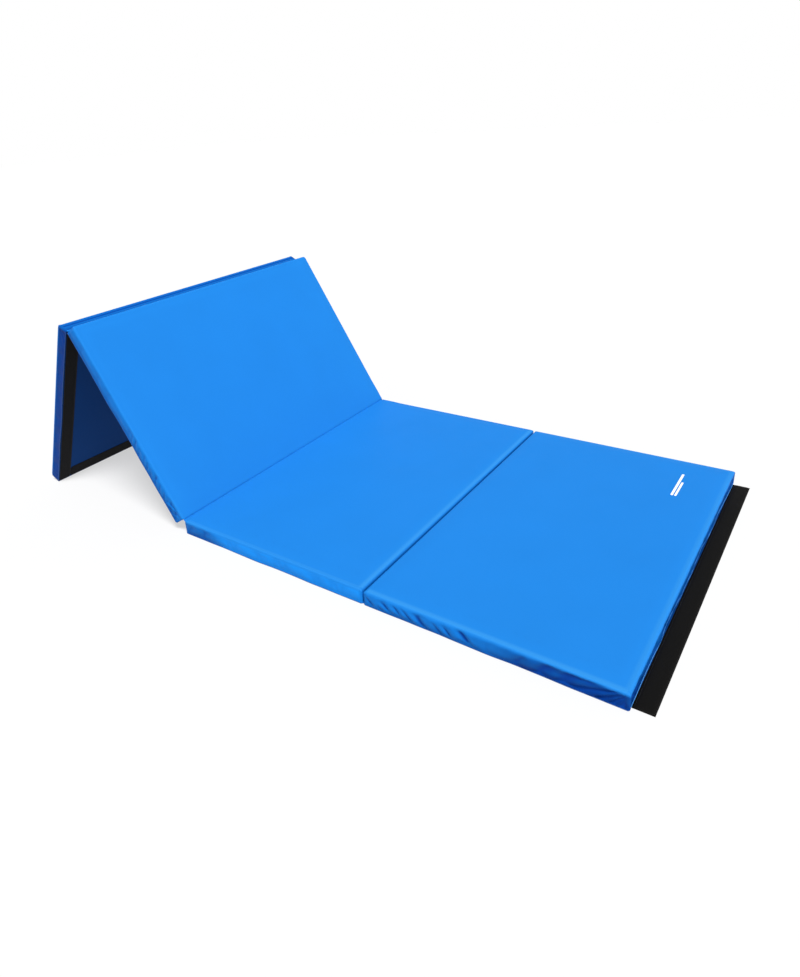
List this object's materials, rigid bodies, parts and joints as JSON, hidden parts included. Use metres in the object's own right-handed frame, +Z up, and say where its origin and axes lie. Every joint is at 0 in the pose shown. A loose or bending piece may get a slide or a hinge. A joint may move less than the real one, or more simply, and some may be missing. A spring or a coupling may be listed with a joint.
{
  "type": "folding gym mat",
  "caption": "Folding gym mat: thick blue vinyl-covered foam panels joined by fabric hinges on alternate faces, with a hook flap on one end and loop strips beneath.",
  "frame": {"origin": "middle of the mat's footprint, on the floor", "axes": "+X along the mat toward the hook flap, +Y across it from the near long side to the far one, +Z up"},
  "size_m": [2.3949, 1.2192, 0.6994],
  "materials": {
    "cover_vinyl": "satin PVC-coated polyester, fine grain",
    "foam": "closed-cell expanded polyethylene",
    "loop_tape": "napped loop pile",
    "hook_tape": "moulded hooks on woven tape",
    "flap_vinyl": "satin black PVC-coated polyester",
    "webbing": "plain woven polyester"
  },
  "bodies": {
    "panel_1": {"top_cover_1": "cover_vinyl", "base_sheet_1": "cover_vinyl", "foam_upper_1": "foam", "foam_lower_1": "foam", "side_loop_near_1": "loop_tape", "side_loop_far_1": "loop_tape", "hinge_webbing_12_in_1": "webbing", "flap_tab": "flap_vinyl"},
    "panel_2": {"top_cover_2": "cover_vinyl", "base_sheet_2": "cover_vinyl", "foam_upper_2": "foam", "foam_lower_2": "foam", "side_loop_near_2": "loop_tape", "side_loop_far_2": "loop_tape", "hinge_webbing_23_in_2": "webbing", "hinge_webbing_12_in_2": "webbing"},
    "panel_3": {"top_cover_3": "cover_vinyl", "base_sheet_3": "cover_vinyl", "foam_upper_3": "foam", "foam_lower_3": "foam", "side_loop_near_3": "loop_tape", "side_loop_far_3": "loop_tape", "hinge_webbing_34_in_3": "webbing", "hinge_webbing_23_in_3": "webbing"},
    "panel_4": {"top_cover_4": "cover_vinyl", "base_sheet_4": "cover_vinyl", "foam_upper_4": "foam", "foam_lower_4": "foam", "side_loop_near_4": "loop_tape", "side_loop_far_4": "loop_tape", "hinge_webbing_34_in_4": "webbing", "end_loop_4": "loop_tape"},
    "hook_flap": {"flap_base": "flap_vinyl", "flap_hook_tape": "hook_tape"}
  },
  "joints": [
    {"name": "fold_12", "type": "hinge", "parent": "panel_2", "child": "panel_1", "pos_m": [0.38532, 0, 0], "axis": [0, 1, 0], "range_deg": [0, 178]},
    {"name": "fold_23", "type": "hinge", "parent": "panel_2", "child": "panel_3", "pos_m": [-0.37668, 0, 0.0508], "axis": [0, 1, 0], "range_deg": [-59, 119]},
    {"name": "fold_34", "type": "hinge", "parent": "panel_3", "child": "panel_4", "pos_m": [-0.81268, 0, 0.6778], "axis": [0, -1, 0], "range_deg": [-122.36, 55.64]},
    {"name": "flap_fold", "type": "hinge", "parent": "panel_1", "child": "hook_flap", "pos_m": [1.14632, 0, 0], "axis": [0, -1, 0], "range_deg": [-176, 90]}
  ]
}
